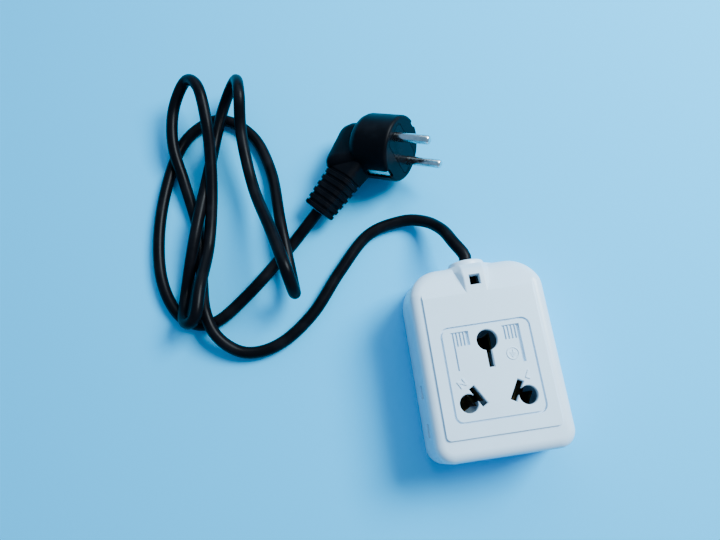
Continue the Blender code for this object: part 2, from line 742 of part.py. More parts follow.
def make_plug_body(material, frame):
    drum = [[(0.0, y, z) for y, z in circle(face_radius - face_chamfer, 48)],
            [(-face_chamfer, y, z) for y, z in circle(face_radius, 48)]]
    for depth, radius in drum_back:
        drum.append([(-depth, y, z) for y, z in circle(radius, 48)])
    body = add_object("plug_body", loft(drum), material, frame)

    rear = []
    for depth, half_width, away, toward in rear_block:
        outline = rounded_outline(-half_width, half_width, -away, toward, rear_corner, rear_corner, 4)
        rear.append([(-depth, y, z) for y, z in outline])
    combine(body, add_cutter("add_rear", loft(rear), frame), "UNION")
    path = even_path(smooth_path([Vector(point) for point in relief_spine]), 1.0 * mm)
    relief = loft(sweep_rings(path, relief_rings(path), up=Vector((0.0, 1.0, 0.0))))
    combine(body, add_cutter("add_relief", relief, frame), "UNION")

    pocket = []
    for depth, half_width, half_height in ((-cutter_over, carrier_half_width, carrier_half_height), *chamber):
        outline = rounded_outline(-half_width, half_width, -half_height, half_height,
                                  carrier_corner, carrier_corner, 4)
        pocket.append([(-depth, y, z) for y, z in outline])
    combine(body, add_cutter("cut_pocket", loft(pocket), frame), "DIFFERENCE")
    slots = bmesh.new()
    back = -clip_length - fit_gap
    half = clip_width / 2 + fit_gap
    for side in (-1, 1):
        edges = sorted((side * (face_radius - clip_slot_depth), side * (face_radius + cutter_over)))
        add_block(slots, (back, -half, edges[0]), (cutter_over, half, edges[1]))
    combine(body, add_cutter("cut_clip_slots", slots, frame), "DIFFERENCE")
    reach = face_radius - bridge_inset
    bridge = block((back, -half, -reach), (back + bridge_depth + fit_gap, half, reach))
    combine(body, add_cutter("cut_bridge_way", bridge, frame), "DIFFERENCE")
    bore = loft(sweep_rings([*path[2:], path[-1] * 2 - path[-2]],
                            [circle(cord_radius + cord_bore_gap, 20)] * (len(path) - 1),
                            up=Vector((0.0, 1.0, 0.0))))
    combine(body, add_cutter("cut_cord_way", bore, frame), "DIFFERENCE")
    return path


def make_pin_carrier(material, frame):
    half_width = carrier_half_width - fit_gap
    half_height = carrier_half_height - fit_gap
    corner = carrier_corner - fit_gap
    outline = rounded_outline(-half_width, half_width, -half_height, half_height, corner, corner, 4)
    body = loft([[(x, y, z) for y, z in outline] for x in (-carrier_depth, 0.0)])
    carrier = add_object("pin_carrier", body, material, frame)
    holes = bmesh.new()
    for side in (-1, 1):
        ring = [(side * pin_half_spacing + y, z) for y, z in circle(pin_radius + fit_gap / 2, 24)]
        add_rings(holes, [[(x, y, z) for y, z in ring]
                          for x in (-carrier_depth - cutter_over, cutter_over)])
    combine(carrier, add_cutter("cut_pin_ways", holes, frame), "DIFFERENCE")


def make_pin(name, side, material, frame):
    """Solid round pin with a rounded tip and a hollow crimp tail inside the plug."""
    rings = []
    for x, radius in ((-pin_tail, pin_radius * 0.8), (-pin_tail + 0.4 * mm, pin_radius),
                      (pin_length - 1.6 * mm, pin_radius), (pin_length - 0.7 * mm, pin_radius * 0.8),
                      (pin_length, pin_radius * 0.35)):
        rings.append([(x, side * pin_half_spacing + y, z) for y, z in circle(radius, 24)])
    pin = add_object(name, loft(rings), material, frame)
    tail = [(side * pin_half_spacing + y, z) for y, z in circle(conductor_radius + 0.2 * mm, 12)]
    cut = loft([[(x, y, z) for y, z in tail] for x in (-pin_tail - cutter_over, -pin_tail + 3.5 * mm)])
    combine(pin, add_cutter("cut_crimp_" + name, cut, frame), "DIFFERENCE")


def make_earth_strip(material, frame):
    """One bent strip: a clip at each side of the drum, joined behind the pin carrier."""
    reach = face_radius - clip_slot_depth + fit_gap
    back = -clip_length
    front = -clip_front_gap
    half = clip_width / 2
    outer = reach + clip_thick
    outline = ((back, -outer), (front, -outer), (front, -reach), (back + clip_thick, -reach),
               (back + clip_thick, reach), (front, reach), (front, outer), (back, outer))
    body = loft([[(x, step * half, z) for x, z in outline] for step in (-1, 1)])
    add_object("earth_strip", body, material, frame)


def make_plug_wiring(core_materials, frame, path):
    start = path[6]
    for name, side in (("live", 1), ("neutral", -1)):
        route = [(start.x - 0.4 * mm, side * 1.6 * mm, start.z - 1.0 * mm),
                 (-20.5 * mm, side * 4.0 * mm, 1.0 * mm),
                 (-17.0 * mm, side * 8.0 * mm, 0.0),
                 (-pin_tail - 3.2 * mm, side * pin_half_spacing, 0.0),
                 (-pin_tail - 0.4 * mm, side * pin_half_spacing, 0.0)]
        add_wire("plug_" + name + "_core", route, core_radius, core_materials[name], frame)
    route = [(start.x + 1.9 * mm, 0.0, start.z - 0.2 * mm), (-19.2 * mm, 0.0, 3.9 * mm),
             (-16.4 * mm, 0.0, 3.6 * mm), (-clip_length - 0.4 * mm, 0.0, 3.6 * mm)]
    add_wire("plug_earth_core", route, core_radius, core_materials["earth"], frame)


def make_cord(material, path, frame):
    place = frame.matrix_world
    end = place @ path[-1]
    ahead = (end - place @ path[-3]).normalized()
    points = [Vector(point) * mm for point in cord_route]
    points.append(end + ahead * cord_plug_lead + Vector((0.0, 0.0, cord_plug_lift)))
    points.append(end + ahead * fit_gap)
    print("last cord points", [[round(value / mm, 2) for value in point] for point in points[-2:]])
    course = smooth_path(points)
    length = sum((b - a).length for a, b in zip(course, course[1:]))
    print("cord length", round(length / mm, 1))
    add_wire("cord", points, cord_radius, material, pitch=cord_pitch)


def main():
    clear_scene()
    white = make_material("white_plastic", (0.82, 0.86, 0.9), 0.38)
    base_white = make_material("base_plastic", (0.72, 0.76, 0.8), 0.45)
    black = make_material("black_pvc", (0.012, 0.012, 0.014), 0.5)
    carrier_grey = make_material("carrier_plastic", (0.05, 0.05, 0.055), 0.45)
    brass = make_material("brass", (0.78, 0.58, 0.24), 0.3, 1.0)
    nickel = make_material("nickel", (0.75, 0.73, 0.7), 0.22, 1.0)
    steel = make_material("zinc_steel", (0.6, 0.62, 0.65), 0.35, 1.0)
    copper = make_material("copper", (0.8, 0.42, 0.25), 0.35, 1.0)
    cores = {"live": make_material("core_brown", (0.16, 0.07, 0.03), 0.45),
             "neutral": make_material("core_blue", (0.03, 0.12, 0.5), 0.45),
             "earth": make_material("core_green_yellow", (0.3, 0.5, 0.05), 0.45)}

    make_top_cover(white)
    make_base_plate(base_white)
    make_pole_contact("live", 1, brass)
    make_pole_contact("neutral", -1, brass)
    make_earth_contact(brass)
    make_terminal_screws(steel)
    make_cord_clamp(base_white, steel)
    make_box_wiring(black, cores, copper)

    frame = bpy.data.objects.new("plug_frame", None)
    bpy.context.collection.objects.link(frame)
    frame.location = plug_place
    frame.rotation_euler = Euler((plug_roll, -plug_tilt, plug_azimuth))
    bpy.context.view_layer.update()
    path = make_plug_body(black, frame)
    make_pin_carrier(carrier_grey, frame)
    make_pin("live_pin", 1, nickel, frame)
    make_pin("neutral_pin", -1, nickel, frame)
    make_earth_strip(nickel, frame)
    make_plug_wiring(cores, frame, path)
    make_cord(black, path, frame)
    print("objects", len(bpy.data.objects))


main()
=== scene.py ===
# Universal socket box with a side-entry plug on its cord; metres, box on the floor, cord leaves towards +Y.
import math

import bpy
from mathutils import Euler, Matrix, Vector


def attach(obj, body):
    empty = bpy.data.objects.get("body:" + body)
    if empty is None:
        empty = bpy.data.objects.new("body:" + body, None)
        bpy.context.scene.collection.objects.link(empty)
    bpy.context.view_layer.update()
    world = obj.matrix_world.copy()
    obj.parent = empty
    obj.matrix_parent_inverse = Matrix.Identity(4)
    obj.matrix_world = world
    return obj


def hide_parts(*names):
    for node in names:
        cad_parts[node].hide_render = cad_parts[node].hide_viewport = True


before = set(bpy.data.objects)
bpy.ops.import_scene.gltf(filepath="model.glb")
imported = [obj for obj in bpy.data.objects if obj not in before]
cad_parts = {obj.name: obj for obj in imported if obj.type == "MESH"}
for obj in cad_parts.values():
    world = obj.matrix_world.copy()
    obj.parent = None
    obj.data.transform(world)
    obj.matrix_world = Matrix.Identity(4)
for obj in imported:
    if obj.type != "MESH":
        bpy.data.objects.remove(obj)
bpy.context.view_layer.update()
mm = 0.001
print("frame loaded")

cameraLook = {"place": (-49.7, -18.5, 288.2), "tilt": 14.16, "roll": -8.7, "lens": 29.0, "sensor": 36.0,
              "nearest": 5.0}


def addCamera(look):
    data = bpy.data.cameras.new("camera")
    data.lens = look["lens"]
    data.sensor_width = look["sensor"]
    data.clip_start = look["nearest"] * mm
    camera = bpy.data.objects.new("camera", data)
    bpy.context.collection.objects.link(camera)
    lean = Matrix.Rotation(math.radians(look["tilt"]), 3, "X")
    spin = Matrix.Rotation(math.radians(look["roll"]), 3, "Z")
    camera.location = Vector(look["place"]) * mm
    camera.rotation_euler = (lean @ spin).to_euler()
    bpy.context.scene.camera = camera


addCamera(cameraLook)


# ---- finishes: a socket that takes part in sums, and one way to make a node

class Flow:
    def __init__(self, finish, socket):
        self.finish = finish
        self.socket = socket

    def work(self, operation, first, second):
        return self.finish.node("ShaderNodeMath", {"operation": operation}, {0: first, 1: second})

    def __add__(self, other):
        return self.work("ADD", self, other)

    def __radd__(self, other):
        return self.work("ADD", other, self)

    def __sub__(self, other):
        return self.work("SUBTRACT", self, other)

    def __rsub__(self, other):
        return self.work("SUBTRACT", other, self)

    def __mul__(self, other):
        return self.work("MULTIPLY", self, other)

    def __rmul__(self, other):
        return self.work("MULTIPLY", other, self)

    def __gt__(self, other):
        return self.work("GREATER_THAN", self, other)


class Finish:
    def __init__(self, name, colour, roughness, metallic=0.0):
        self.material = bpy.data.materials.new(name)
        self.material.use_nodes = True
        self.tree = self.material.node_tree
        self.shader = self.tree.nodes["Principled BSDF"]
        self.give("Base Color", (*colour, 1.0))
        self.give("Roughness", roughness)
        self.give("Metallic", metallic)
        self.place = self.node("ShaderNodeTexCoord", {"output": "Object"}, {})

    def node(self, kind, settings, values):
        made = self.tree.nodes.new(kind)
        wanted = None
        for key, value in settings.items():
            if key == "output":
                wanted = value
            elif key == "stops":
                self.setStops(made.color_ramp, value)
            else:
                setattr(made, key, value)
        for key, value in values.items():
            if isinstance(value, Flow):
                self.tree.links.new(value.socket, made.inputs[key])
            else:
                made.inputs[key].default_value = value
        outputs = [socket for socket in made.outputs if socket.enabled]
        return Flow(self, made.outputs[wanted] if wanted else outputs[0])

    def setStops(self, ramp, stops):
        while len(ramp.elements) < len(stops):
            ramp.elements.new(0.5)
        for element, (position, shade) in zip(ramp.elements, stops):
            element.position = position
            element.color = (shade, shade, shade, 1.0)

    def give(self, name, value):
        if isinstance(value, Flow):
            self.tree.links.new(value.socket, self.shader.inputs[name])
        else:
            self.shader.inputs[name].default_value = value

    def noise(self, scale, detail=3.0, stretch=(1.0, 1.0, 1.0)):
        spot = self.node("ShaderNodeMapping", {}, {"Vector": self.place, "Scale": stretch})
        return self.node("ShaderNodeTexNoise", {"output": "Fac"},
                         {"Vector": spot, "Scale": scale, "Detail": detail})

    def ramp(self, flow, low, high):
        return self.node("ShaderNodeValToRGB", {"stops": ((low, 0.0), (high, 1.0))}, {0: flow})

    def mix(self, share, first, second):
        return self.node("ShaderNodeMix", {"data_type": "RGBA"}, {0: share, 6: first, 7: second})

    def bump(self, height, strength, distance):
        flow = self.node("ShaderNodeBump", {}, {"Height": height, "Strength": strength, "Distance": distance})
        self.give("Normal", flow)


def rgba(red, green, blue):
    return (red, green, blue, 1.0)


# the cover and base colours are white plastic with a light blue tint: the tint is painted bounce light from the
# cyan surroundings
plasticLook = {"cover": (0.66, 0.83, 0.96), "base": (0.60, 0.78, 0.93), "roughness": 0.36, "grainScale": 5200.0,
               "cloudScale": 55.0, "grainHeight": 0.000012}


def plasticFinish(name, colour, look):
    finish = Finish(name, colour, look["roughness"])
    cloud = finish.ramp(finish.noise(look["cloudScale"], 4.0), 0.35, 0.7)
    worn = tuple(value * 0.94 for value in colour)
    finish.give("Base Color", finish.mix(cloud, rgba(*colour), rgba(*worn)))
    finish.give("Roughness", cloud * 0.10 + (look["roughness"] - 0.04))
    finish.give("Coat Weight", cloud * 0.1 + 0.05)
    finish.shader.inputs["Coat Roughness"].default_value = 0.2
    finish.bump(finish.noise(look["grainScale"], 2.0), 0.25, look["grainHeight"])
    return finish.material


blackLook = {"colour": (0.0025, 0.0025, 0.0035), "dusty": (0.007, 0.007, 0.009), "shine": 0.06,
             "grainScale": 2600.0, "dustScale": 90.0, "grainHeight": 0.00002}


def blackFinish(name, look, roughness):
    finish = Finish(name, look["colour"], roughness)
    dust = finish.ramp(finish.noise(look["dustScale"], 5.0), 0.45, 0.8)
    finish.give("Base Color", finish.mix(dust, rgba(*look["colour"]), rgba(*look["dusty"])))
    finish.give("Roughness", dust * 0.14 + (roughness - 0.03))
    finish.shader.inputs["Specular IOR Level"].default_value = look["shine"]
    finish.bump(finish.noise(look["grainScale"], 2.0), 0.3, look["grainHeight"])
    return finish.material


def metalFinish(name, colour, dull, roughness, dullScale, brushed=(1.0, 1.0, 1.0)):
    finish = Finish(name, colour, roughness, 1.0)
    stain = finish.ramp(finish.noise(dullScale, 5.0), 0.4, 0.75)
    lines = finish.noise(900.0, 2.0, brushed)
    finish.give("Base Color", finish.mix(stain, rgba(*colour), rgba(*dull)))
    finish.give("Roughness", stain * 0.18 + lines * 0.08 + (roughness - 0.04))
    finish.bump(lines, 0.15, 0.00001)
    return finish.material


def coreFinish(name, colour, stripe=None):
    finish = Finish(name, colour, 0.42)
    shade = finish.ramp(finish.noise(180.0, 3.0), 0.3, 0.8)
    first = finish.mix(shade, rgba(*colour), rgba(*(value * 0.8 for value in colour)))
    if stripe:
        bands = finish.node("ShaderNodeTexWave", {"wave_type": "BANDS", "output": "Fac"},
                            {"Vector": finish.place, "Scale": 90.0})
        first = finish.mix(bands > 0.55, first, rgba(*stripe))
    finish.give("Base Color", first)
    finish.give("Roughness", shade * 0.1 + 0.38)
    return finish.material


coverPlastic = plasticFinish("coverPlastic", plasticLook["cover"], plasticLook)
basePlastic = plasticFinish("basePlastic", plasticLook["base"], plasticLook)
cordPvc = blackFinish("cordPvc", blackLook, 0.34)
plugPvc = blackFinish("plugPvc", blackLook, 0.42)
carrierPlastic = blackFinish("carrierPlastic", blackLook, 0.26)
# the contact brass is painted far darker than bright brass: painted shade standing for the dark inside of the pin
# holes
contactBrassPaintedShade = metalFinish("contactBrassPaintedShade", (0.16, 0.10, 0.04), (0.06, 0.035, 0.016), 0.5, 260.0)
pinNickel = metalFinish("pinNickel", (0.78, 0.77, 0.76), (0.55, 0.53, 0.50), 0.16, 420.0, (1.0, 1.0, 14.0))
screwZinc = metalFinish("screwZinc", (0.55, 0.57, 0.60), (0.34, 0.35, 0.36), 0.34, 600.0)
strandCopper = metalFinish("strandCopper", (0.72, 0.36, 0.20), (0.42, 0.18, 0.09), 0.38, 700.0, (9.0, 1.0, 9.0))
coreBrown = coreFinish("coreBrown", (0.14, 0.06, 0.03))
coreBlue = coreFinish("coreBlue", (0.02, 0.10, 0.42))
coreEarth = coreFinish("coreEarth", (0.06, 0.32, 0.05), (0.75, 0.62, 0.03))
print("finishes made")


# ---- hand tools; near is how close an edge has to be to the place it is looked for, in mm

near = 0.01

def restPick():
    if bpy.context.object and bpy.context.object.mode != "OBJECT":
        bpy.ops.object.mode_set(mode="OBJECT")
    bpy.ops.object.select_all(action="DESELECT")


def hold(piece):
    restPick()
    piece.select_set(True)
    bpy.context.view_layer.objects.active = piece


def editPick(piece, kind, test):
    hold(piece)
    mesh = piece.data
    for group in (mesh.vertices, mesh.edges, mesh.polygons):
        group.foreach_set("select", [False] * len(group))
    if kind == "EDGE":
        for edge in mesh.edges:
            first, second = (mesh.vertices[k].co / mm for k in edge.vertices)
            edge.select = test(first, second)
            if edge.select:
                for k in edge.vertices:
                    mesh.vertices[k].select = True
    else:
        for face in mesh.polygons:
            face.select = test(face.center / mm, face.normal)
    bpy.context.tool_settings.mesh_select_mode = (False, kind == "EDGE", kind == "FACE")
    bpy.ops.object.mode_set(mode="EDIT")


def settle(piece):
    hold(piece)
    bpy.ops.object.transform_apply(location=True, rotation=True, scale=True)
    return piece


def addBlock(name, low, high):
    restPick()
    middle = [(a + b) / 2 * mm for a, b in zip(low, high)]
    bpy.ops.mesh.primitive_cube_add(size=1.0, location=middle)
    piece = bpy.context.object
    piece.name = name
    piece.scale = [(b - a) * mm for a, b in zip(low, high)]
    return settle(piece)


def addRod(name, foot, head, radius, sides=48):
    restPick()
    foot, head = Vector(foot), Vector(head)
    ahead = head - foot
    bpy.ops.mesh.primitive_cylinder_add(vertices=sides, radius=radius * mm, depth=ahead.length * mm,
                                        location=(foot + head) / 2 * mm,
                                        rotation=ahead.to_track_quat("Z", "Y").to_euler())
    piece = bpy.context.object
    piece.name = name
    return settle(piece)


def bevelEdges(piece, test, width, steps):
    editPick(piece, "EDGE", test)
    bpy.ops.mesh.bevel(offset=width * mm, segments=steps, affect="EDGES")
    bpy.ops.object.mode_set(mode="OBJECT")


def resizeFaces(piece, test, value, about):
    editPick(piece, "FACE", test)
    bpy.ops.transform.resize(value=value, center_override=[v * mm for v in about])
    bpy.ops.object.mode_set(mode="OBJECT")


def pullFaces(piece, test, move, value=(1.0, 1.0, 1.0), about=(0.0, 0.0, 0.0)):
    editPick(piece, "FACE", test)
    bpy.ops.mesh.extrude_region_move(TRANSFORM_OT_translate={"value": [v * mm for v in move]})
    bpy.ops.transform.resize(value=value, center_override=[v * mm for v in about])
    bpy.ops.object.mode_set(mode="OBJECT")


def sliceOff(piece, point, normal):
    editPick(piece, "FACE", lambda centre, facing: True)
    bpy.ops.mesh.bisect(plane_co=[v * mm for v in point], plane_no=normal, use_fill=True, clear_outer=True)
    bpy.ops.object.mode_set(mode="OBJECT")


def combine(target, tool, operation):
    hold(target)
    modifier = target.modifiers.new("combine", "BOOLEAN")
    modifier.operation = operation
    modifier.solver = "EXACT"
    modifier.object = tool
    bpy.ops.object.modifier_apply(modifier=modifier.name)
    bpy.data.objects.remove(tool, do_unlink=True)


def clean(piece):
    editPick(piece, "FACE", lambda centre, facing: True)
    bpy.ops.mesh.remove_doubles(threshold=0.000002)
    bpy.ops.mesh.normals_make_consistent(inside=False)
    bpy.ops.object.mode_set(mode="OBJECT")


def dress(piece, material, smooth=20.0):
    hold(piece)
    bpy.ops.object.shade_smooth_by_angle(angle=math.radians(smooth))
    piece.data.materials.clear()
    piece.data.materials.append(material)
    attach(piece, "root")
    return piece


def evenNormals(piece):
    hold(piece)
    modifier = piece.modifiers.new("evenNormals", "WEIGHTED_NORMAL")
    modifier.keep_sharp = True
    bpy.ops.object.modifier_apply(modifier=modifier.name)


# ---- cord

cordLook = {"radius": 3.0, "pitch": 2.4, "rounds": 6, "samples": 16}
cordRoute = [
    (0, 44.8, 22), (0, 48.5, 22), (-3.4, 55.7, 20), (-6.9, 64.7, 14.5), (-13.7, 72.4, 7.5),
    (-25, 75.6, 3.6), (-43, 71, 3.3), (-60, 54, 3.3), (-76, 35, 3.3), (-94, 22.5, 3.3),
    (-111, 20.5, 3.7), (-123, 29, 7.8), (-128, 43, 9.8), (-129.5, 64, 4.8), (-130, 88, 3.3),
    (-134.5, 114, 5), (-137.5, 134, 10), (-135, 153, 13), (-126, 165, 19), (-118, 157, 25.5),
    (-116, 140, 22), (-117, 122, 15.5), (-120, 99, 9.5), (-124, 76, 8), (-127.5, 54, 17),
    (-131, 38.5, 18), (-138, 39.5, 11.5), (-138, 55, 4.8), (-129.5, 84, 9.8), (-119, 122, 8),
    (-109.5, 151, 9.5), (-100, 162.5, 17), (-97, 149, 26.5), (-99.5, 130, 18), (-97, 102, 14),
    (-89, 74, 24), (-83.5, 53, 31), (-82, 43, 20.5), (-83.5, 52, 10.2), (-86, 82, 9.4),
    (-88.5, 114, 3.6), (-97, 137.5, 3.3), (-115, 149, 3.3), (-135, 136.5, 3.3), (-148, 102, 3.3),
    (-151, 68, 3.3), (-143, 44.5, 3.3), (-127, 37.5, 3.3), (-108, 49, 3.3), (-86, 68.5, 3.3),
    (-74.92, 77.7, 7.26), (-66.54, 85.55, 9.22)]


def smoothPath(points, samples):
    padded = [points[0] * 2 - points[1], *points, points[-1] * 2 - points[-2]]
    path = []
    for a, b, c, d in zip(padded, padded[1:], padded[2:], padded[3:]):
        for step in range(samples):
            t = step / samples
            path.append(0.5 * (2 * b + (c - a) * t + (2 * a - 5 * b + 4 * c - d) * t * t
                               + (3 * b - a - 3 * c + d) * t ** 3))
    return path + [points[-1].copy()]


def evenPath(path, pitch):
    reach = [0.0]
    for a, b in zip(path, path[1:]):
        reach.append(reach[-1] + (b - a).length)
    count = math.ceil(reach[-1] / pitch)
    result = []
    k = 0
    for step in range(count + 1):
        wanted = reach[-1] * step / count
        while k < len(path) - 2 and reach[k + 1] < wanted:
            k += 1
        share = (wanted - reach[k]) / (reach[k + 1] - reach[k])
        result.append(path[k].lerp(path[k + 1], min(share, 1.0)))
    return result, reach[-1]


def makeCord(look, route):
    points = [Vector(point) for point in route]
    path, length = evenPath(smoothPath(points, look["samples"]), look["pitch"])
    data = bpy.data.curves.new("flexCord", "CURVE")
    data.dimensions = "3D"
    data.bevel_depth = look["radius"] * mm
    data.bevel_resolution = look["rounds"]
    data.use_fill_caps = True
    spline = data.splines.new("POLY")
    spline.points.add(len(path) - 1)
    for place, point in zip(spline.points, path):
        place.co = (*(point * mm), 1.0)
    spline.use_smooth = True
    data.materials.append(cordPvc)
    piece = bpy.data.objects.new("flexCord", data)
    bpy.context.collection.objects.link(piece)
    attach(piece, "root")
    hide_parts("cord")
    return piece, length


flexCord, cordLength = makeCord(cordLook, cordRoute)
print("cord laid, mm:", round(cordLength, 1))


# ---- top cover of the box

coverLook = {"halfWidth": 32.0, "south": -45.0, "north": 43.3, "low": 3.3, "top": 35.0, "faceTop": 36.0,
             "cornerSouth": 8.0, "cornerNorth": 15.0, "draft": 3.7, "fillet": 4.3, "wall": 2.0, "roof": 2.7,
             "crease": 27.5, "slope": 22.0, "slopeFoot": 9.0, "platformHalf": 24.6, "platformSouth": -33.6,
             "platformCorner": 2.0, "platformEdge": 0.35, "platformSunk": 0.05, "platformRoot": 1.0,
             "cavityLow": -2.0}


def slopePlane(look, drop):
    lean = math.radians(look["slope"])
    return (0.0, look["crease"], look["faceTop"] - drop), (0.0, math.sin(lean), math.cos(lean))


def addShellBody(name, look, inset, low, top, fillet):
    draft = math.tan(math.radians(look["draft"]))
    foot, head = inset + low * draft, inset + top * draft
    half, south, north = look["halfWidth"], look["south"], look["north"]
    body = addBlock(name, (foot - half, south + foot, low), (half - foot, north - foot, top))
    middle = (south + north) / 2

    def standing(a, b):
        return abs(a.z - b.z) > 5.0

    bevelEdges(body, lambda a, b: standing(a, b) and a.y < middle, look["cornerSouth"] - inset, 10)
    bevelEdges(body, lambda a, b: standing(a, b) and a.y > middle and b.y > middle,
               look["cornerNorth"] - inset, 14)
    shrink = ((half - head) / (half - foot), (north - south - 2 * head) / (north - south - 2 * foot), 1.0)
    resizeFaces(body, lambda centre, facing: facing.z > 0.9, shrink, (0.0, middle, top))
    bevelEdges(body, lambda a, b: a.z > top - near and b.z > top - near, fillet, 9)
    lowerEnd(body, look, top)
    return body


def lowerEnd(body, look, top):
    slope = math.tan(math.radians(look["slope"]))
    crease = look["crease"] + (look["faceTop"] - look["top"]) / slope
    editPick(body, "FACE", lambda centre, facing: True)
    bpy.ops.mesh.bisect(plane_co=(0.0, crease * mm, 0.0), plane_no=(0.0, 1.0, 0.0))
    bpy.ops.object.mode_set(mode="OBJECT")
    for vertex in body.data.vertices:                    # what lies past the crease sinks with the slope
        past = vertex.co.y / mm - crease
        share = (vertex.co.z / mm - look["slopeFoot"]) / (top - look["slopeFoot"])
        if past > 0.0 and share > 0.0:
            vertex.co.z -= past * slope * share * mm
    body.data.update()


def addPlatform(look):
    half, south = look["platformHalf"], look["platformSouth"]
    block = addBlock("platform", (-half, south, look["top"] - look["platformRoot"]),
                     (half, look["north"], look["faceTop"]))
    bevelEdges(block, lambda a, b: abs(a.z - b.z) > 1.0 and a.y < 0.0, look["platformCorner"], 5)
    bevelEdges(block, lambda a, b: a.z > look["faceTop"] - near and b.z > look["faceTop"] - near,
               look["platformEdge"], 3)
    point, normal = slopePlane(look, look["platformSunk"])
    sliceOff(block, point, normal)
    return block


hoodLook = {"half": 4.8, "footDrop": 12.0, "flank": 35.0, "start": 23.5, "shoulder": 37.6, "end": 41.6,
            "endDrop": 5.0, "round": 3.2, "edge": 0.5, "collarRadius": 8.4, "collarZ": 20.5,
            "collarSouth": 37.3, "collarNorth": 44.5, "lip": 1.2, "cordHeight": 22.0, "bore": 3.3,
            "window": 2.35, "windowY": 33.2, "sink": 0.02, "boreSouth": 31.0, "boreNorth": 48.0}


def makeHood(face, look):
    top = face - look["sink"]
    foot = top - look["footDrop"]
    wide = look["half"] + look["footDrop"] * math.tan(math.radians(look["flank"]))
    hood = addBlock("hood", (-wide, look["start"], foot), (wide, look["shoulder"], top))
    resizeFaces(hood, lambda centre, facing: facing.z > 0.9, (look["half"] / wide, 1.0, 1.0), (0.0, 0.0, top))
    pullFaces(hood, lambda centre, facing: facing.y > 0.9, (0.0, look["end"] - look["shoulder"], 0.0))

    def topEnd(a, b):
        return min(a.y, b.y) > look["end"] - near and min(a.z, b.z) > top - near

    editPick(hood, "EDGE", topEnd)
    bpy.ops.transform.translate(value=(0.0, 0.0, -look["endDrop"] * mm))
    bpy.ops.object.mode_set(mode="OBJECT")
    bevelEdges(hood, lambda a, b: abs(a.y - look["shoulder"]) < near and abs(b.y - look["shoulder"]) < near
               and min(a.z, b.z) > top - near, look["round"], 8)
    bevelEdges(hood, lambda a, b: abs(a.y - b.y) > 0.2 and a.x * b.x > 0.0 and abs(a.x) < look["half"] + near
               and abs(b.x) < look["half"] + near and min(a.z, b.z) > foot + 2.0, look["edge"], 3)
    return hood


def makeCollar(look):
    z = look["collarZ"]
    collar = addRod("collar", (0.0, look["collarSouth"], z), (0.0, look["collarNorth"], z),
                    look["collarRadius"], 64)
    front = look["collarNorth"] - near
    bevelEdges(collar, lambda a, b: a.y > front and b.y > front, look["lip"], 5)
    return collar


holeLook = {"earthY": 5.9, "earthRadius": 4.55, "earthSlot": (2.4, 11.7), "poleX": 12.7, "poleY": -19.5,
            "poleRadius": 4.0, "poleSlot": (2.8, 9.2), "slotAway": 5.1, "slotTurn": 30.0, "low": 25.0,
            "lip": 0.28}


def flare(tool, face, look, size):
    grow = [(value + 4 * look["lip"]) / value for value in size]

    def topFace(centre, facing):
        return facing.z > 0.9

    pullFaces(tool, topFace, (0.0, 0.0, 2 * look["lip"]), (grow[0], grow[1], 1.0), (0.0, 0.0, face))


def roundTool(face, look, x, y, radius):
    tool = addRod("holeTool", (0.0, 0.0, look["low"]), (0.0, 0.0, face - look["lip"]), radius, 64)
    flare(tool, face, look, (2 * radius, 2 * radius))
    tool.location = (x * mm, y * mm, 0.0)
    return settle(tool)


def slotTool(face, look, x, y, size, turn):
    wide, long = size
    tool = addBlock("slotTool", (-wide / 2, -long / 2, look["low"]), (wide / 2, long / 2, face - look["lip"]))
    flare(tool, face, look, size)
    tool.location = (x * mm, y * mm, 0.0)
    tool.rotation_euler = (0.0, 0.0, turn)
    return settle(tool)


def cutPinHoles(cover, face, look):
    combine(cover, slotTool(face, look, 0.0, look["earthY"] - look["earthSlot"][1] / 2, look["earthSlot"], 0.0),
            "DIFFERENCE")
    combine(cover, roundTool(face, look, 0.0, look["earthY"], look["earthRadius"]), "DIFFERENCE")
    turn = math.radians(look["slotTurn"])
    for side in (-1, 1):
        x = side * look["poleX"]
        slotX = x - side * look["slotAway"] * math.cos(turn)
        slotY = look["poleY"] + look["slotAway"] * math.sin(turn)
        combine(cover, slotTool(face, look, slotX, slotY, look["poleSlot"], -side * turn), "DIFFERENCE")
        combine(cover, roundTool(face, look, x, look["poleY"], look["poleRadius"]), "DIFFERENCE")


panelLook = {"half": 19.7, "south": -27.6, "north": 13.6, "corner": 3.8, "groove": 0.9, "depth": 1.2,
             "combTop": 11.0, "combDepth": 1.5, "thin": 0.7, "wide": 1.5, "short": 6.2, "long": 16.5,
             "leftTeeth": (-14.3, -12.8, -11.3, -9.8), "rightTeeth": (8.1, 9.6, 11.1, 12.6),
             "leftWide": -8.2, "rightWide": 14.1, "bar": 0.6, "barOver": 0.9, "barDepth": 0.9, "above": 1.0,
             "ringAbove": 0.5}


def panelBlock(face, look, inset, top):
    block = addBlock("panelTool", (inset - look["half"], look["south"] + inset, face - look["depth"]),
                     (look["half"] - inset, look["north"] - inset, top))
    bevelEdges(block, lambda a, b: abs(a.z - b.z) > 0.3, look["corner"] - inset, 8)
    return block


def cutPanel(cover, face, look):
    ring = panelBlock(face, look, 0.0, face + look["ringAbove"])
    core = panelBlock(face, look, look["groove"], face + look["ringAbove"])
    core.scale = (1.0, 1.0, 3.0)
    core.location = (0.0, 0.0, -2.0 * face * mm)
    settle(core)
    combine(ring, core, "DIFFERENCE")
    combine(cover, ring, "DIFFERENCE")


def toothTool(face, look, x, wide, long):
    return addBlock("toothTool", (x - wide / 2, look["combTop"] - long, face - look["combDepth"]),
                    (x + wide / 2, look["combTop"], face + look["above"]))


